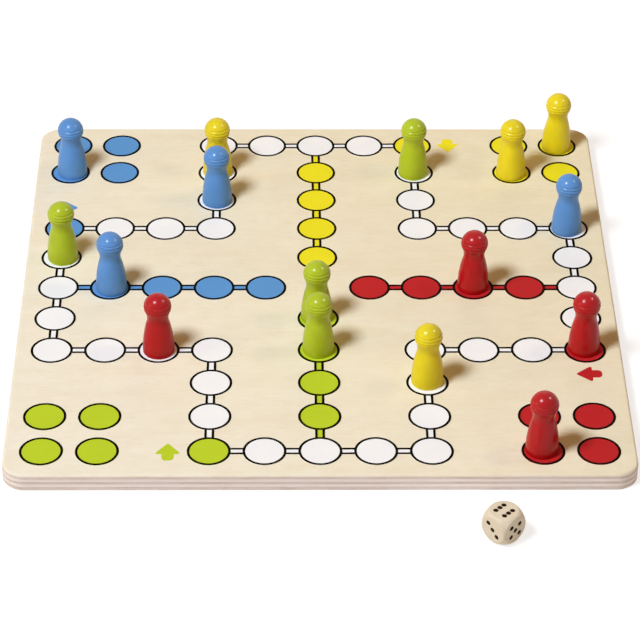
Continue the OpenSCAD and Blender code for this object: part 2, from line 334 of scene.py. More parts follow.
def film_group(name):
    """Unevenness of a printed film: slow tone, fine speckle, and the grain that shows through as height."""
    group, given = start_group(name)
    tone = stretched_noise(group, given["Vector"], (60, 60, 60), 2.0, 0.5)
    speckle = stretched_noise(group, given["Vector"], (1800, 1800, 1800), 2.0, 0.6, (2.4, 0.7, 0.1))
    grain = stretched_noise(group, given["Vector"], (45, 1500, 1500), 2.0, 0.6, (1.7, 0.3, 5.1))
    height = math_node(group, "ADD", grain, math_node(group, "MULTIPLY", speckle, 0.5))
    return end_group(group, Tone=tone, Speckle=speckle, Height=height)


def lacquer_group(name):
    """Unevenness of lacquer on turned wood: slow tone, handling marks, turning lines with a slight peel."""
    group, given = start_group(name)
    tone = stretched_noise(group, given["Vector"], (130, 130, 90), 2.0, 0.5)
    handling = stretched_noise(group, given["Vector"], (420, 420, 260), 3.0, 0.6, (4.1, 1.9, 0.4))
    lines = stretched_noise(group, given["Vector"], (30, 30, 2600), 1.0, 0.5, (0.2, 3.3, 6.1))
    peel = stretched_noise(group, given["Vector"], (900, 900, 900), 1.0, 0.5)
    height = math_node(group, "ADD", lines, math_node(group, "MULTIPLY", peel, 0.6))
    return end_group(group, Tone=tone, Handling=handling, Height=height)


# Materials


def new_material(name):
    """An empty node material, its tree, its shader and the Object coordinates."""
    material = bpy.data.materials.new(name)
    material.use_nodes = True
    tree = material.node_tree
    shader = tree.nodes["Principled BSDF"]
    place = tree.nodes.new("ShaderNodeTexCoord").outputs["Object"]
    return material, tree, shader, place


def use_group(tree, name, maker, **inputs):
    """The outputs of the named effect group, placed in this tree."""
    return add(tree, "ShaderNodeGroup", {"node_tree": named_tree(name, maker)}, **inputs).outputs


def set_surface(tree, shader, tone, roughness, gloss):
    """Give the shader its changing colour and roughness, and its plain gloss."""
    tree.links.new(tone, shader.inputs["Base Color"])
    tree.links.new(roughness, shader.inputs["Roughness"])
    shader.inputs["Specular IOR Level"].default_value = gloss


def set_bump(tree, shader, height, strength, distance):
    bump = add(tree, "ShaderNodeBump", Strength=strength, Distance=distance, Height=height)
    tree.links.new(bump.outputs[0], shader.inputs["Normal"])


def shade(colour, factor):
    return tuple(min(1.0, c * factor) for c in colour)


def shade_by(colour, change):
    return tuple(c * k for c, k in zip(colour, change))


def darken(tree, mask, tone, change):
    """The tone, multiplied by the change where the mask is one."""
    return blend_colour(tree, mask, tone, blend_colour(tree, 1.0, tone, change, "MULTIPLY"))


# Painted shade: the face turns darker and yellower along this way, from the first to the second distance off
# the board's middle, where the light is weaker
DRIFT_WAY = (0.876, 0.482, 0)
DRIFT_RANGE = (-0.19, 0.121)


def wood_material(
    name, face, edge, turn=0.0, fineness=1.0, centre=(0, 0, 0), drift=None, gloss=0.15, streaks=0.0
):
    """Sanded wood: face colour on the flats, edge colour and dark streaks on the upright sides; the edge
    colour is partly painted light and shade.
    """
    material, tree, shader, place = new_material(name)
    turned = add(tree, "ShaderNodeMapping", {"vector_type": "TEXTURE"}, Vector=place, Location=centre)
    turned.inputs["Rotation"].default_value = (0, 0, turn)
    wood = use_group(tree, "wood_figure", wood_figure_group, Vector=turned.outputs[0], Fineness=fineness)
    outward = tree.nodes.new("ShaderNodeNewGeometry").outputs["Normal"]
    upward = add(tree, "ShaderNodeSeparateXYZ", Vector=outward).outputs["Z"]
    flat = ramp(tree, math_node(tree, "ABSOLUTE", upward), 0.1, 0.7, smooth=True)
    # Painted shade: the face darkens and yellows along the drift way.
    if drift:
        along = add(
            tree, "ShaderNodeVectorMath", {"operation": "DOT_PRODUCT"}, Vector=place, Vector_001=DRIFT_WAY
        )
        share = ramp(tree, along.outputs["Value"], *DRIFT_RANGE)
        face = blend_colour(tree, share, face, shade_by(face, drift))
    # Painted light and shade: the upright sides take the edge colour, which is partly the wood's own
    # end-grain colour and partly the light and shade that falls on those sides.
    tone = blend_colour(tree, flat, edge, face)
    tone = darken(tree, ramp(tree, wood["Figure"], 0.36, 0.64), tone, (0.955, 0.93, 0.885))
    tone = darken(tree, ramp(tree, wood["Fibre"], 0.32, 0.7), tone, (0.98, 0.968, 0.948))
    tone = darken(tree, math_node(tree, "MULTIPLY", wood["Pores"], 0.5), tone, (0.90, 0.85, 0.77))
    if streaks:
        upright = ramp(tree, flat, 0.0, 1.0, streaks, 0.0)
        streak = math_node(tree, "MULTIPLY", ramp(tree, wood["Fibre"], 0.5, 0.64, smooth=True), upright)
        tone = darken(tree, streak, tone, (0.82, 0.73, 0.68))
    set_surface(tree, shader, tone, ramp(tree, wood["Fibre"], 0.2, 0.8, 0.5, 0.62), gloss)
    set_bump(tree, shader, wood["Height"], 0.25, 0.05 * MM)
    return material


def ink_material(name, colour, gloss=0.06):
    """Screen-printed ink: nearly flat, with slow tone, speckle and the grain under it."""
    material, tree, shader, place = new_material(name)
    film = use_group(tree, "printed_film", film_group, Vector=place)
    tone = blend_colour(tree, ramp(tree, film["Tone"], 0.3, 0.7), shade(colour, 0.975), shade(colour, 1.02))
    tone = darken(tree, ramp(tree, film["Speckle"], 0.55, 0.8, 0.0, 0.5), tone, (0.93, 0.93, 0.93))
    set_surface(tree, shader, tone, ramp(tree, film["Tone"], 0.2, 0.8, 0.46, 0.56), gloss)
    set_bump(tree, shader, film["Height"], 0.2, 0.03 * MM)
    return material


def lacquer_material(name, colour):
    """Glossy coloured lacquer over turned wood."""
    material, tree, shader, place = new_material(name)
    film = use_group(tree, "turned_lacquer", lacquer_group, Vector=place)
    tone = blend_colour(tree, ramp(tree, film["Tone"], 0.3, 0.7), shade(colour, 0.94), shade(colour, 1.04))
    set_surface(tree, shader, tone, ramp(tree, film["Handling"], 0.25, 0.75, 0.3, 0.4), 0.05)
    shader.inputs["Coat Weight"].default_value = 0.42
    shader.inputs["Coat Roughness"].default_value = 0.2
    set_bump(tree, shader, film["Height"], 0.15, 0.04 * MM)
    return material


def paint_material(name, colour):
    """Dark paint pooled in the pips."""
    material, tree, shader, place = new_material(name)
    film = use_group(tree, "turned_lacquer", lacquer_group, Vector=place)
    tone = blend_colour(tree, ramp(tree, film["Handling"], 0.3, 0.7), shade(colour, 0.7), shade(colour, 1.5))
    set_surface(tree, shader, tone, ramp(tree, film["Handling"], 0.2, 0.8, 0.38, 0.55), 0.03)
    set_bump(tree, shader, film["Height"], 0.2, 0.03 * MM)
    return material


# Meshes and geometry trees


def new_object(name, data):
    item = bpy.data.objects.new(name, data)
    bpy.context.scene.collection.objects.link(item)
    return item


def mesh_from(name, points, faces=(), edges=()):
    mesh = bpy.data.meshes.new(name)
    mesh.from_pydata([tuple(p) for p in points], list(edges), list(faces))
    mesh.update()
    return mesh


def mark_points(mesh, name, kind, key, values):
    """Store a value for each point of the mesh under this name."""
    mesh.attributes.new(name, kind, "POINT").data.foreach_set(key, values)


def arc(x, y, radius, start, end, steps):
    """Points along an arc about a middle, from one angle to another."""
    angles = [start + (end - start) * k / steps for k in range(steps + 1)]
    return [(x + radius * math.cos(a), y + radius * math.sin(a)) for a in angles]


def smooth_quads(mesh):
    """Shade the four-sided faces smooth and leave the flat ends as they are."""
    for face in mesh.polygons:
        face.use_smooth = len(face.vertices) == 4


def geometry_tree(name, inputs):
    """An empty geometry tree with the named inputs, its input sockets and its output node."""
    tree = bpy.data.node_groups.new(name, "GeometryNodeTree")
    tree.interface.new_socket(name="Geometry", in_out="INPUT", socket_type="NodeSocketGeometry")
    for key, kind in inputs.items():
        tree.interface.new_socket(name=key, in_out="INPUT", socket_type=f"NodeSocket{kind}")
    tree.interface.new_socket(name="Geometry", in_out="OUTPUT", socket_type="NodeSocketGeometry")
    return tree, tree.nodes.new("NodeGroupInput").outputs, tree.nodes.new("NodeGroupOutput")


def end_tree(tree, output, geometry, material):
    """Realize the instances, set the material and hand the mesh out."""
    real = add(tree, "GeometryNodeRealizeInstances", Geometry=geometry)
    dressed = add(tree, "GeometryNodeSetMaterial", Geometry=real.outputs[0], Material=material)
    tree.links.new(dressed.outputs[0], output.inputs[0])
    return tree


def evaluated_mesh(item):
    """A plain mesh of the object with its modifiers applied."""
    graph = bpy.context.evaluated_depsgraph_get()
    return bpy.data.meshes.new_from_object(item.evaluated_get(graph), depsgraph=graph)


def grow(name, base, tree, values):
    """A plain mesh object: the tree's result on the base mesh with these input values."""
    item = new_object(name, base)
    modifier = item.modifiers.new(tree.name, "NODES")
    modifier.node_group = tree
    keys = {s.name: s.identifier for s in tree.interface.items_tree if s.in_out == "INPUT"}
    for key, value in values.items():
        modifier[keys[key]] = value
    mesh = evaluated_mesh(item)
    item.modifiers.remove(modifier)
    mesh.name = name
    item.data = mesh
    bpy.data.meshes.remove(base)
    if not len(mesh.polygons):
        raise RuntimeError(f"{name} came out empty")
    return item


def dress(item, body, slot, *nodes):
    """Let the item ride on a body and stand for the nodes, which it hides; the slot is not used."""
    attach(item, body)
    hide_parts(*nodes)


# Plywood


def board_ring(half, radius, steps, height):
    """Outline of the board at one height, counter-clockwise seen from above."""
    ring = []
    for corner in range(4):
        middle = Vector((half - radius, half - radius, height))
        for k in range(steps + 1):
            angle = k / steps * QUARTER
            point = middle + Vector((math.cos(angle), math.sin(angle), 0)) * radius
            ring.append(Matrix.Rotation(corner * QUARTER, 4, "Z") @ point)
    return ring


def loft(name, rings):
    """A closed mesh through rings of equal length, flat at both ends and smooth at the sides."""
    count = len(rings[0])
    points = [p for ring in rings for p in ring]
    faces = [tuple(reversed(range(count)))]
    for level in range(len(rings) - 1):
        low, high = level * count, (level + 1) * count
        for k in range(count):
            n = (k + 1) % count
            faces.append((low + k, low + n, high + n, high + k))
    faces.append(tuple(range((len(rings) - 1) * count, len(rings) * count)))
    mesh = mesh_from(name, points, faces)
    smooth_quads(mesh)
    return mesh


def ply_steps(low, high, low_radius, high_radius, steps=8):
    """Height and inset of each ring of a ply with rounded edges, from its underside upwards."""
    angles = [k / steps * QUARTER for k in range(steps + 1)]
    lower = [(low + low_radius * (1 - math.cos(a)), low_radius * (1 - math.sin(a))) for a in angles]
    upper = [(high - high_radius * (1 - math.sin(a)), high_radius * (1 - math.cos(a))) for a in angles]
    return lower + upper


class LUDO_OT_plywood(bpy.types.Operator):
    """Make the five plies of the board"""

    bl_idname = "ludo.plywood"
    bl_label = "Plywood"

    def execute(self, context):
        wanted = context.scene.ludo_board
        face, dark, pale = wanted.face_colour, wanted.dark_edge, wanted.pale_edge
        half = (board_high.x - board_low.x) / 2
        # The plies' edge colours are partly painted light and shade, and the face veneer carries the painted
        # shade drift.
        veneer = wood_material("face_veneer", face, dark, drift=wanted.painted_shade_drift, streaks=0.6)
        crossband = wood_material("crossband", face, pale, turn=QUARTER)
        core = wood_material("core_ply_wood", face, shade(dark, 0.98), streaks=0.6)
        slots = {
            "top_veneer": (veneer, "face_wood"),
            "upper_crossband": (crossband, "cross_wood"),
            "core_ply": (core, "core_wood"),
            "lower_crossband": (crossband, "cross_wood"),
            "back_veneer": (veneer, "face_wood"),
        }
        for node in PLIES:
            low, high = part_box(node)
            low_radius = wanted.lower_radius if node == PLIES[0] else wanted.glue_line
            high_radius = wanted.upper_radius if node == PLIES[-1] else wanted.glue_line
            rings = [
                board_ring(half - inset, wanted.corner_radius - inset, wanted.corner_steps, height)
                for height, inset in ply_steps(low.z, high.z, low_radius, high_radius)
            ]
            item = new_object(f"{node}_sheet", loft(f"{node}_sheet", rings))
            wood, slot = slots[node]
            item.data.materials.append(wood)
            dress(item, "board", slot, node)
        return {"FINISHED"}


# Print


def turn_place(place, quarters):
    """A grid place turned by quarter turns about the board's middle."""
    x, y = place
    for _ in range(quarters):
        x, y = -y, x
    return x, y


def steps_between(start, end):
    """Grid places from start to end, one step apart."""
    count = max(abs(end[0] - start[0]), abs(end[1] - start[1]))
    return [
        (start[0] + (end[0] - start[0]) * k // count, start[1] + (end[1] - start[1]) * k // count)
        for k in range(count + 1)
    ]


# Grid places of one quarter of the track, and of the green home column and base
TRACK = steps_between((-2, -5), (-2, -2))
TRACK += steps_between((-3, -2), (-5, -2))
TRACK += steps_between((-5, -1), (-5, 2))
HOME = steps_between((0, -5), (0, -1))
BASE = [(x, y) for x in (-5, -4) for y in (-5, -4)]

# A bar's two ends together reach this many times the depth of the rings' curve into the fields
BAR_REACH = 2.5


def bars_of(chain):
    """Middles of the bars between neighbouring places, and whether each runs along X."""
    return [((a[0] + b[0]) / 2, (a[1] + b[1]) / 2, a[1] == b[1]) for a, b in zip(chain, chain[1:])]


def print_places(fields, bars, quarters, pitch, height):
    """A mesh of points, marked 0 for a field, 1 for a bar along X and 2 for a bar along Y."""
    points, kinds = [], []
    for quarter in quarters:
        for place in fields:
            points.append((*(c * pitch for c in turn_place(place, quarter)), height))
            kinds.append(0)
        for x, y, level in bars:
            points.append((*(c * pitch for c in turn_place((x, y), quarter)), height))
            kinds.append(1 if level == (quarter % 2 == 0) else 2)
    mesh = mesh_from("print_places", points)
    mark_points(mesh, "kind", "INT", "value", kinds)
    return mesh


def place_shapes(tree, points, shapes):
    """Instances of the shapes, one kind of point for each, joined."""
    kind = add(tree, "GeometryNodeInputNamedAttribute", {"data_type": "INT"}, Name="kind")
    join = tree.nodes.new("GeometryNodeJoinGeometry")
    for number, shape in enumerate(shapes):
        chosen = add(
            tree,
            "FunctionNodeCompare",
            {"data_type": "INT", "operation": "EQUAL"},
            A_INT=kind.outputs["Attribute"],
            B_INT=number,
        )
        placed = add(
            tree, "GeometryNodeInstanceOnPoints", Points=points, Selection=chosen.outputs[0], Instance=shape
        )
        tree.links.new(placed.outputs[0], join.inputs[0])
    return join.outputs[0]


def size_of(tree, x, y, z):
    return add(tree, "ShaderNodeCombineXYZ", X=x, Y=y, Z=z).outputs[0]


def film_block(tree, x, y, film):
    """A rectangle of film."""
    return add(tree, "GeometryNodeMeshCube", Size=size_of(tree, x, y, film)).outputs["Mesh"]


PRINT_INPUTS = {
    "Field diameter": "Float",
    "Bar length": "Float",
    "Bar width": "Float",
    "Line width": "Float",
    "Film": "Float",
    "Segments": "Int",
    "Material": "Material",
}


def printed_fields_tree(name):
    """Round fields and the bars between them, as films."""
    tree, given, output = geometry_tree(name, PRINT_INPUTS)
    length, width, film = given["Bar length"], given["Bar width"], given["Film"]
    radius = math_node(tree, "MULTIPLY", given["Field diameter"], 0.5)
    disc = add(tree, "GeometryNodeMeshCylinder", Vertices=given["Segments"], Radius=radius, Depth=film)
    along = film_block(tree, length, width, film)
    across = film_block(tree, width, length, film)
    shapes = place_shapes(tree, given["Geometry"], (disc.outputs["Mesh"], along, across))
    return end_tree(tree, output, shapes, given["Material"])


def printed_outlines_tree(name):
    """Rings of the fields and the two side lines of each bar, as films."""
    tree, given, output = geometry_tree(name, PRINT_INPUTS)
    length, line, film = given["Bar length"], given["Line width"], given["Film"]
    middle = math_node(tree, "SUBTRACT", given["Field diameter"], line)
    radius = math_node(tree, "MULTIPLY", middle, 0.5)
    path = add(tree, "GeometryNodeCurvePrimitiveCircle", Resolution=given["Segments"], Radius=radius)
    section = add(tree, "GeometryNodeCurvePrimitiveQuadrilateral", Width=line, Height=film)
    ring = add(
        tree, "GeometryNodeCurveToMesh", Curve=path.outputs["Curve"], Profile__Curve=section.outputs[0]
    )
    apart = math_node(tree, "SUBTRACT", given["Bar width"], line)
    shapes = [ring.outputs[0]]
    for level in (True, False):
        join = tree.nodes.new("GeometryNodeJoinGeometry")
        block = film_block(tree, *((length, line) if level else (line, length)), film)
        for side in (0.5, -0.5):
            offset = math_node(tree, "MULTIPLY", apart, side)
            way = size_of(tree, *((0.0, offset) if level else (offset, 0.0)), 0.0)
            moved = add(tree, "GeometryNodeTransform", Geometry=block, Translation=way)
            tree.links.new(moved.outputs[0], join.inputs[0])
        shapes.append(join.outputs[0])
    return end_tree(tree, output, place_shapes(tree, given["Geometry"], shapes), given["Material"])


class LUDO_OT_fields(bpy.types.Operator):
    """Print the fields and bars of the track, the bases and the home columns"""

    bl_idname = "ludo.fields"
    bl_label = "Printed fields"

    def execute(self, context):
        wanted = context.scene.ludo_print
        pitch = wanted.field_pitch
        radius = wanted.field_diameter / 2
        curve_depth = radius - math.sqrt(radius**2 - (wanted.bar_width / 2) ** 2)
        values = {
            "Field diameter": wanted.field_diameter,
            "Bar length": pitch - wanted.field_diameter + BAR_REACH * curve_depth,
            "Bar width": wanted.bar_width,
            "Line width": wanted.line_width,
            "Film": wanted.film,
            "Segments": wanted.ring_segments,
        }
        height = board_high.z + wanted.film / 2
        fills = named_tree("printed_fields", printed_fields_tree)
        track_bars, home_bars = bars_of(TRACK), bars_of(HOME)
        jobs = [("white", TRACK[1:-1], track_bars, range(4))]
        jobs += [(c, TRACK[:1] + HOME[1:] + BASE, home_bars, [QUARTER_TURNS[c]]) for c in COLOURS]
        for colour, fields, bars, quarters in jobs:
            node = "white_track_ink" if colour == "white" else f"{colour}_field_ink"
            material = ink_material(f"{colour}_print_ink", getattr(wanted, colour))
            places = print_places(fields, bars, quarters, pitch, height)
            item = grow(f"{colour}_print", places, fills, {**values, "Material": material})
            dress(item, "board", f"{colour}_ink", node)
        lines = named_tree("printed_outlines", printed_outlines_tree)
        fields, bars = TRACK[:-1] + HOME[1:] + BASE, track_bars + home_bars
        places = print_places(fields, bars, range(4), pitch, height + wanted.film)
        material = ink_material("black_print_ink", wanted.black, gloss=0.01)
        item = grow("outline_print", places, lines, {**values, "Material": material})
        dress(item, "board", "black_ink", "outline_ink")
        return {"FINISHED"}


ARROW_STEPS = 8


def arrow_outline(wanted):
    """A start arrow that points along Y, with its middle at the origin, counter-clockwise."""
    tip, end = wanted.arrow_tip, wanted.arrow_end
    top, stem = wanted.arrow_length / 2, wanted.arrow_stem / 2
    neck = top - wanted.arrow_head
    side_x, side_y = wanted.arrow_width / 2 - tip, neck + tip
    slope = math.atan2(side_x, top - tip - side_y)
    right = arc(stem - end, end - top, end, -QUARTER, 0, ARROW_STEPS) + [(stem, neck)]
    right += arc(side_x, side_y, tip, -QUARTER, slope, ARROW_STEPS)
    right += arc(0, top - tip, tip, slope, QUARTER, ARROW_STEPS)
    return right + [(-x, y) for x, y in reversed(right[:-1])]


class LUDO_OT_arrows(bpy.types.Operator):
    """Print the four start arrows"""

    bl_idname = "ludo.arrows"
    bl_label = "Start arrows"

    def execute(self, context):
        shape = arrow_outline(context.scene.ludo_print)
        for colour in COLOURS:
            node = f"{colour}_start_arrow"
            low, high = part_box(node)
            spin = Matrix.Rotation(QUARTER_TURNS[colour] * QUARTER, 4, "Z")
            ring = [(low + high) / 2 + spin @ Vector((x, y, 0)) for x, y in shape]
            rings = [[(p.x, p.y, height) for p in ring] for height in (low.z, high.z)]
            item = new_object(f"{colour}_arrow_print", loft(f"{colour}_arrow_print", rings))
            item.data.materials.append(bpy.data.materials[f"{colour}_print_ink"])
            dress(item, "board", f"{colour}_ink", node)
        return {"FINISHED"}


# Pawns

FOOT_STEPS, BELL_STEPS, HOLLOW_STEPS, HEAD_STEPS = 6, 25, 21, 90
TOP_RADIUS = 0.02 * MM

# A groove's half width is a share of the pitch, and its raised lips are placed in half widths
GROOVES = 3
GROOVE_HALF_WIDTH = 0.33
GROOVE_FALL = 2.2
LIP_PLACE = 1.25
LIP_SHARE = 0.3
LIP_FALL = 4


def groove_cut(wanted, height):
    """How deep the grooves cut into the head at this height over its middle."""
    cut = 0.0
    for number in range(GROOVES):
        away = height - wanted.groove_height + number * wanted.groove_pitch
        away /= GROOVE_HALF_WIDTH * wanted.groove_pitch
        lip = LIP_SHARE * math.exp(-((abs(away) - LIP_PLACE) ** 2) * LIP_FALL)
        cut += wanted.groove_depth * (math.exp(-(away**2) * GROOVE_FALL) - lip)
    return cut


def pawn_outline(wanted, total):
    """Radius and height of the turned outline, from the foot to the top."""
    foot, bell, hollow = wanted.foot_radius, wanted.bell_radius, wanted.hollow_radius
    head = wanted.head_diameter / 2
    head_z, bell_z = total - head, wanted.bell_height
    bell_x = wanted.bell_diameter / 2 - bell
    hollow_x = wanted.neck_diameter / 2 + hollow
    hollow_z = head_z - math.sqrt((head + hollow) ** 2 - hollow_x**2)
    foot_x = bell_x + math.sqrt(bell**2 - (bell_z - foot) ** 2) - foot
    points = arc(foot_x, foot, foot, -QUARTER, 0, FOOT_STEPS)
    bell_start = math.asin((foot - bell_z) / bell)
    bell_end = math.atan2(hollow_z - bell_z, hollow_x - bell_x)
    points += arc(bell_x, bell_z, bell, bell_start, bell_end, BELL_STEPS)[1:]
    hollow_start = math.atan2(points[-1][1] - hollow_z, points[-1][0] - hollow_x)
    hollow_end = math.atan2(head_z - hollow_z, -hollow_x)
    sweep = (hollow_end - hollow_start) % (2 * math.pi) - 2 * math.pi
    points += arc(hollow_x, hollow_z, hollow, hollow_start, hollow_start + sweep, HOLLOW_STEPS)[1:]
    head_start = math.atan2(points[-1][1] - head_z, points[-1][0])
    for k in range(1, HEAD_STEPS + 1):
        angle = head_start + (QUARTER - head_start) * k / HEAD_STEPS
        size = head - groove_cut(wanted, head * math.sin(angle))
        points.append((max(size * math.cos(angle), TOP_RADIUS), head_z + size * math.sin(angle)))
    return points


def pawn_line(outline):
    """The pawn's middle line, whose points know the radius of the outline there."""
    edges = [(k, k + 1) for k in range(len(outline) - 1)]
    mesh = mesh_from("pawn_line", [(0, 0, z) for _, z in outline], edges=edges)
    mark_points(mesh, "turned_radius", "FLOAT", "value", [radius for radius, _ in outline])
    return mesh


def turned_pawn_tree(name):
    """An upright line of points turned into a solid: each point's radius is swept round the line."""
    inputs = {"Segments": "Int", "Stand": "Vector", "Material": "Material"}
    tree, given, output = geometry_tree(name, inputs)
    line = add(tree, "GeometryNodeMeshToCurve", Mesh=given["Geometry"])
    radius = add(tree, "GeometryNodeInputNamedAttribute", {"data_type": "FLOAT"}, Name="turned_radius")
    circle = add(tree, "GeometryNodeCurvePrimitiveCircle", Resolution=given["Segments"], Radius=1.0)
    body = add(
        tree,
        "GeometryNodeCurveToMesh",
        Curve=line.outputs[0],
        Profile__Curve=circle.outputs["Curve"],
        Scale=radius.outputs["Attribute"],
        Fill__Caps=True,
    )
    moved = add(tree, "GeometryNodeTransform", Geometry=body.outputs[0], Translation=given["Stand"])
    return end_tree(tree, output, moved.outputs[0], given["Material"])


class LUDO_OT_pawns(bpy.types.Operator):
    """Turn and lacquer the sixteen pawns"""

    bl_idname = "ludo.pawns"
    bl_label = "Pawns"

    def execute(self, context):
        wanted = context.scene.ludo_pawns
        outline = pawn_outline(wanted, pawn_high.z - pawn_low.z)
        tree = named_tree("turned_pawn", turned_pawn_tree)
        for colour in COLOURS:
            material = lacquer_material(f"{colour}_pawn_lacquer", getattr(wanted, colour))
            for number in range(1, PAWNS_PER_COLOUR + 1):
                node = f"{colour}_pawn_{number}"
                low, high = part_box(node)
                stand = ((low.x + high.x) / 2, (low.y + high.y) / 2, low.z)
                values = {"Segments": wanted.segments, "Stand": stand, "Material": material}
                item = grow(f"{node}_turned", pawn_line(outline), tree, values)
                smooth_quads(item.data)
                dress(item, node, f"{colour}_lacquer", node)
        return {"FINISHED"}


# Die

# The die's surface is looked for between these shares of its half width, by halving the span
SEARCH_FROM, SEARCH_TO = 0.8, 1.8
SEARCH_STEPS = 30

# Pips, tilt and spin of each side, in degrees
PIP_SIDES = (
    (6, (0, 0, 0), 90),
    (1, (180, 0, 0), 0),
    (3, (0, -90, 0), 90),
    (4, (0, 90, 0), 0),
    (5, (90, 0, 0), 0),
    (2, (-90, 0, 0), 0),
)


def die_place(wanted):
    """The matrix that puts the die on the table."""
    return Matrix.Translation(die_middle) @ Matrix.Rotation(wanted.turn, 4, "Z")


def rounded_die(width, ball, blend, count):
    """Points and faces of a cube whose edges and corners run softly into a ball."""
    points, faces = [], []
    half = width / 2

    def outside(p):
        box = max(abs(c) for c in p) - half
        sphere = p.length - ball
        near = max(blend - abs(box - sphere), 0.0) / blend
        return max(box, sphere) + near * near * blend / 4

    for axis in range(3):
        for side in (-1, 1):
            start = len(points)
            for i in range(count + 1):
                for j in range(count + 1):
                    u, v = (math.tan((2 * t / count - 1) * math.pi / 4) for t in (i, j))
                    way = Vector((0, 0, 0))
                    way[axis], way[(axis + 1) % 3], way[(axis + 2) % 3] = side, u, v
                    way.normalize()
                    low, high = half * SEARCH_FROM, half * SEARCH_TO
                    for _ in range(SEARCH_STEPS):
                        middle = (low + high) / 2
                        low, high = (middle, high) if outside(way * middle) < 0 else (low, middle)
                    points.append(way * low)
            for i in range(count):
                for j in range(count):
                    a = start + i * (count + 1) + j
                    quad = (a, a + count + 1, a + count + 2, a + 1)
                    faces.append(quad if side > 0 else quad[::-1])
    return points, faces


def pip_places(count):
    """Places of the pips on a side, in pip steps from its middle."""
    places = [(0, 0)] if count % 2 else []
    if count > 1:
        places += [(-1, 1), (1, -1)]
    if count > 3:
        places += [(-1, -1), (1, 1)]
    if count > 5:
        places += [(-1, 0), (1, 0)]
    return places


def pip_points(wanted, height):
    """A mesh of the pips' middles at this height over the die's middle, each with its way outwards."""
    middles, ways = [], []
    for count, tilt, spin in PIP_SIDES:
        turn = Euler([math.radians(a) for a in tilt], "XYZ").to_matrix().to_4x4()
        put = die_place(wanted) @ turn @ Matrix.Rotation(math.radians(spin), 4, "Z")
        for x, y in pip_places(count):
            middles.append(put @ Vector((x * wanted.pip_pitch, y * wanted.pip_pitch, height)))
            ways.extend(put.to_3x3() @ Vector((0, 0, 1)))
    mesh = mesh_from("pip_places", middles)
    mark_points(mesh, "outward", "FLOAT_VECTOR", "vector", ways)
    return mesh


def painted_pips_tree(name):
    """Round plugs at every pip, turned to face outwards."""
    inputs = {"Diameter": "Float", "Thickness": "Float", "Segments": "Int", "Material": "Material"}
    tree, given, output = geometry_tree(name, inputs)
    outward = add(tree, "GeometryNodeInputNamedAttribute", {"data_type": "FLOAT_VECTOR"}, Name="outward")
    way = outward.outputs["Attribute"]
    facing = add(tree, "FunctionNodeAlignRotationToVector", {"axis": "Z"}, Vector=way)
    plug = add(
        tree,
        "GeometryNodeMeshCylinder",
        Vertices=given["Segments"],
        Radius=math_node(tree, "MULTIPLY", given["Diameter"], 0.5),
        Depth=given["Thickness"],
    )
    placed = add(
        tree,
        "GeometryNodeInstanceOnPoints",
        Points=given["Geometry"],
        Instance=plug.outputs["Mesh"],
        Rotation=facing.outputs[0],
    )
    return end_tree(tree, output, placed.outputs[0], given["Material"])


def pip_plugs(name, wanted, height, diameter, thickness, material):
    """A plug at every pip, with its middle at this height over the die's middle."""
    values = {
        "Diameter": diameter,
        "Thickness": thickness,
        "Segments": wanted.pip_segments,
        "Material": material,
    }
    return grow(name, pip_points(wanted, height), named_tree("painted_pips", painted_pips_tree), values)


class LUDO_OT_die(bpy.types.Operator):
    """Make the wooden die with its drilled pips"""

    bl_idname = "ludo.die"
    bl_label = "Die"

    def execute(self, context):
        wanted = context.scene.ludo_die
        width = die_high.z - die_low.z
        ball = width * wanted.ball_share / 2
        points, faces = rounded_die(width, ball, wanted.edge_blend, wanted.grid_steps)
        put = die_place(wanted)
        body = new_object("die_body", mesh_from("die_body", [put @ p for p in points], faces))
        grid = bmesh.new()
        grid.from_mesh(body.data)
        bmesh.ops.remove_doubles(grid, verts=grid.verts, dist=MM / 1000)
        bmesh.ops.recalc_face_normals(grid, faces=grid.faces)
        grid.to_mesh(body.data)
        grid.free()
        wood = wood_material(
            "pale_die_wood",
            wanted.wood,
            # Painted shade: the die's upright sides are a little darker than its top and bottom.
            shade(wanted.wood, 0.97),
            turn=wanted.turn,
            fineness=1.5,
            centre=tuple(die_middle),
            gloss=0.35,
        )
        body.data.materials.append(wood)
        drills = pip_plugs("die_drills", wanted, width / 2, wanted.pip_diameter, 2 * wanted.pip_depth, wood)
        cut = body.modifiers.new("drill", "BOOLEAN")
        cut.operation = "DIFFERENCE"
        cut.solver = "EXACT"
        cut.object = drills
        mesh = evaluated_mesh(body)
        body.modifiers.remove(cut)
        body.data = mesh
        bpy.data.objects.remove(drills)
        mesh.shade_smooth()
        mesh.set_sharp_from_angle(angle=math.radians(35))
        dress(body, "die", "die_wood", "die_cube")
        return {"FINISHED"}


class LUDO_OT_pips(bpy.types.Operator):
    """Paint the pips of the die"""

    bl_idname = "ludo.pips"
    bl_label = "Pips"

    def execute(self, context):
        wanted = context.scene.ludo_die
        height = (die_high.z - die_low.z) / 2 - wanted.pip_depth + wanted.paint_thickness / 2
        diameter = wanted.pip_diameter - 2 * wanted.paint_gap
        paint = paint_material("dark_pip_paint", wanted.paint)
        item = pip_plugs("die_pip_paint", wanted, height, diameter, wanted.paint_thickness, paint)
        dress(item, "die", "pip_paint", "die_pips")
        return {"FINISHED"}


# Stage

SENSOR_WIDTH = 36
LAMP_AIM = (0, 0, 0.015)
FLOOR_REACH = 6.0
FLOOR_DROP = 0.05 * MM

# The floor's paleness to the lamps, the share of it that is seen, and its lift to white by distance
FLOOR_PALE = 0.94
FLOOR_SEEN = 0.36
LIFT_NEAR, LIFT_FAR = 0.74, 1.0
LIFT_FROM, LIFT_TO = 0.35, 0.9


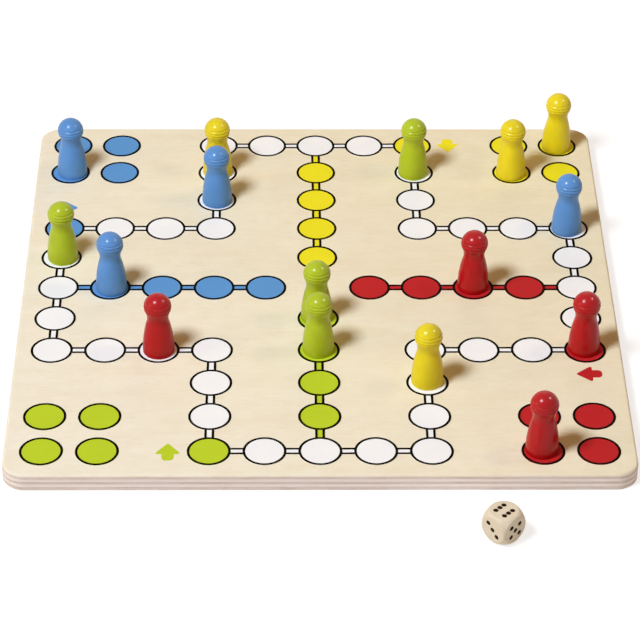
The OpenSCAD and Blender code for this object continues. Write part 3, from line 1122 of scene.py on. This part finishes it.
def lamp(name, place, target, size, strength, colour, fading="Constant", cone=0.0, gloss_only=False):
    """A round lamp, or one with a narrow cone, that may fade away or light only glossy coats."""
    light = bpy.data.lights.new(name, "SPOT" if cone else "AREA")
    if cone:
        light.spot_size = cone
        light.spot_blend = 0.5
        light.shadow_soft_size = size / 2
    else:
        light.shape = "DISK"
        light.size = size
    light.energy = 1.0
    light.color = colour
    light.use_nodes = True
    tree = light.node_tree
    fall = add(tree, "ShaderNodeLightFalloff", Strength=strength)
    glow = next(n for n in tree.nodes if n.type == "EMISSION")
    tree.links.new(fall.outputs[fading], glow.inputs["Strength"])
    item = new_object(name, light)
    item.location = place
    item.rotation_euler = (Vector(target) - Vector(place)).to_track_quat("-Z", "Y").to_euler()
    item.visible_diffuse = not gloss_only


def hang_lamps(wanted):
    """The key lamp, the second lamp with its mirror image, the die's lamp, and those at left and behind."""
    key, warm, glint = wanted.key_colour, wanted.warm_colour, wanted.glint_place
    lamp("key_lamp", wanted.key_place, LAMP_AIM, wanted.key_size, wanted.key_strength, key)
    lamp("glint_lamp", glint, LAMP_AIM, wanted.glint_size, wanted.glint_strength, warm)
    lamp("sparkle_lamp", glint, LAMP_AIM, wanted.glint_size, wanted.sparkle_strength, key, gloss_only=True)
    lamp(
        "die_lamp",
        wanted.die_lamp_place,
        die_middle,
        wanted.die_lamp_size,
        wanted.die_lamp_strength,
        key,
        cone=wanted.die_lamp_cone,
    )
    lamp("side_lamp", wanted.side_place, LAMP_AIM, wanted.side_size, wanted.side_strength, warm)
    lamp("back_lamp", wanted.back_place, LAMP_AIM, wanted.back_size, wanted.back_strength, warm, "Quadratic")


def seen_directly(tree):
    """One for rays of the camera and of mirrored or clear surfaces, which show the background."""
    path = tree.nodes.new("ShaderNodeLightPath").outputs
    mirrored = math_node(tree, "MAXIMUM", path["Is Glossy Ray"], path["Is Transmission Ray"])
    return math_node(tree, "MAXIMUM", path["Is Camera Ray"], mirrored)


def show_seen(tree, unseen, seen, output):
    """Let the output have one shader where it is seen directly, and the other where it is not."""
    mix = tree.nodes.new("ShaderNodeMixShader")
    for target, source in zip(mix.inputs, (seen_directly(tree), unseen.outputs[0], seen.outputs[0])):
        tree.links.new(source, target)
    tree.links.new(mix.outputs[0], output.inputs["Surface"])


def floor_material():
    """White floor that keeps the shadow: the camera sees it lifted to white, fully so far from the board."""
    material, tree, shader, place = new_material("floor_white")
    tree.nodes.remove(shader)
    lit = add(tree, "ShaderNodeBsdfDiffuse", Color=(FLOOR_PALE, FLOOR_PALE, FLOOR_PALE, 1))
    faint = add(tree, "ShaderNodeBsdfDiffuse", Color=(FLOOR_SEEN, FLOOR_SEEN, FLOOR_SEEN, 1))
    distance = add(tree, "ShaderNodeVectorMath", {"operation": "LENGTH"}, Vector=place).outputs["Value"]
    lift = ramp(tree, distance, LIFT_FROM, LIFT_TO, LIFT_NEAR, LIFT_FAR, smooth=True)
    glow = add(tree, "ShaderNodeEmission", Strength=1.0, Color=lift)
    lifted = tree.nodes.new("ShaderNodeAddShader")
    tree.links.new(faint.outputs[0], lifted.inputs[0])
    tree.links.new(glow.outputs[0], lifted.inputs[1])
    show_seen(tree, lit, lifted, tree.nodes["Material Output"])
    return material


def place_camera(scene, wanted):
    """The camera at its place, turned and rolled to its view."""
    camera = bpy.data.cameras.new("camera")
    camera.lens = wanted.lens
    camera.sensor_width = SENSOR_WIDTH
    camera.clip_start, camera.clip_end = 0.05, 50
    eye = new_object("camera", camera)
    azimuth, elevation = wanted.camera_azimuth, wanted.camera_elevation
    flat = math.cos(elevation)
    way = Vector((math.sin(azimuth) * flat, math.cos(azimuth) * flat, -math.sin(elevation)))
    turn = way.to_track_quat("-Z", "Y").to_matrix() @ Matrix.Rotation(wanted.camera_roll, 3, "Z")
    eye.location = wanted.camera_place
    eye.rotation_euler = turn.to_euler()
    scene.camera = eye


def light_room(scene, wanted):
    """Soft light all around, from a room that is seen as white."""
    world = bpy.data.worlds.new("soft_room")
    scene.world = world
    world.use_nodes = True
    tree = world.node_tree
    soft = tree.nodes["Background"]
    soft.inputs["Color"].default_value = (*wanted.fill_colour, 1)
    soft.inputs["Strength"].default_value = wanted.fill_strength
    white = add(tree, "ShaderNodeBackground", Color=(1, 1, 1, 1), Strength=1.0)
    show_seen(tree, soft, white, tree.nodes["World Output"])


class LUDO_OT_stage(bpy.types.Operator):
    """Set the camera, the floor and the light"""

    bl_idname = "ludo.stage"
    bl_label = "Stage"

    def execute(self, context):
        scene = context.scene
        wanted = scene.ludo_stage
        place_camera(scene, wanted)
        signs = ((-1, -1), (1, -1), (1, 1), (-1, 1))
        corners = [(x * FLOOR_REACH, y * FLOOR_REACH, -FLOOR_DROP) for x, y in signs]
        floor = new_object("floor", mesh_from("floor", corners, [(0, 1, 2, 3)]))
        floor.data.materials.append(floor_material())
        hang_lamps(wanted)
        light_room(scene, wanted)
        scene.view_settings.view_transform = "Standard"
        return {"FINISHED"}


class LUDO_PT_panel(bpy.types.Panel):
    """Sizes, colours and steps of the ludo board"""

    bl_idname = "LUDO_PT_panel"
    bl_label = "Ludo Board"
    bl_space_type = "VIEW_3D"
    bl_region_type = "UI"
    bl_category = "Ludo Board"

    def draw(self, context):
        for key in SETTINGS:
            box = self.layout.box()
            group = getattr(context.scene, key)
            for name in group.__annotations__:
                box.prop(group, name)
        for step in STEPS:
            self.layout.operator(step.bl_idname)


SETTINGS = {
    "ludo_board": LudoBoardSettings,
    "ludo_print": LudoPrintSettings,
    "ludo_pawns": LudoPawnSettings,
    "ludo_die": LudoDieSettings,
    "ludo_stage": LudoStageSettings,
}
STEPS = (
    LUDO_OT_plywood,
    LUDO_OT_fields,
    LUDO_OT_arrows,
    LUDO_OT_pawns,
    LUDO_OT_die,
    LUDO_OT_pips,
    LUDO_OT_stage,
)


def register():
    for item in (*SETTINGS.values(), *STEPS, LUDO_PT_panel):
        bpy.utils.register_class(item)
    for key, kind in SETTINGS.items():
        setattr(bpy.types.Scene, key, bpy.props.PointerProperty(type=kind))


def unregister():
    for key in SETTINGS:
        delattr(bpy.types.Scene, key)
    for item in reversed((*SETTINGS.values(), *STEPS, LUDO_PT_panel)):
        bpy.utils.unregister_class(item)


def main():
    register()
    bpy.ops.ludo.plywood()
    bpy.ops.ludo.fields()
    bpy.ops.ludo.arrows()
    bpy.ops.ludo.pawns()
    bpy.ops.ludo.die()
    bpy.ops.ludo.pips()
    bpy.ops.ludo.stage()


if __name__ == "__main__":
    main()
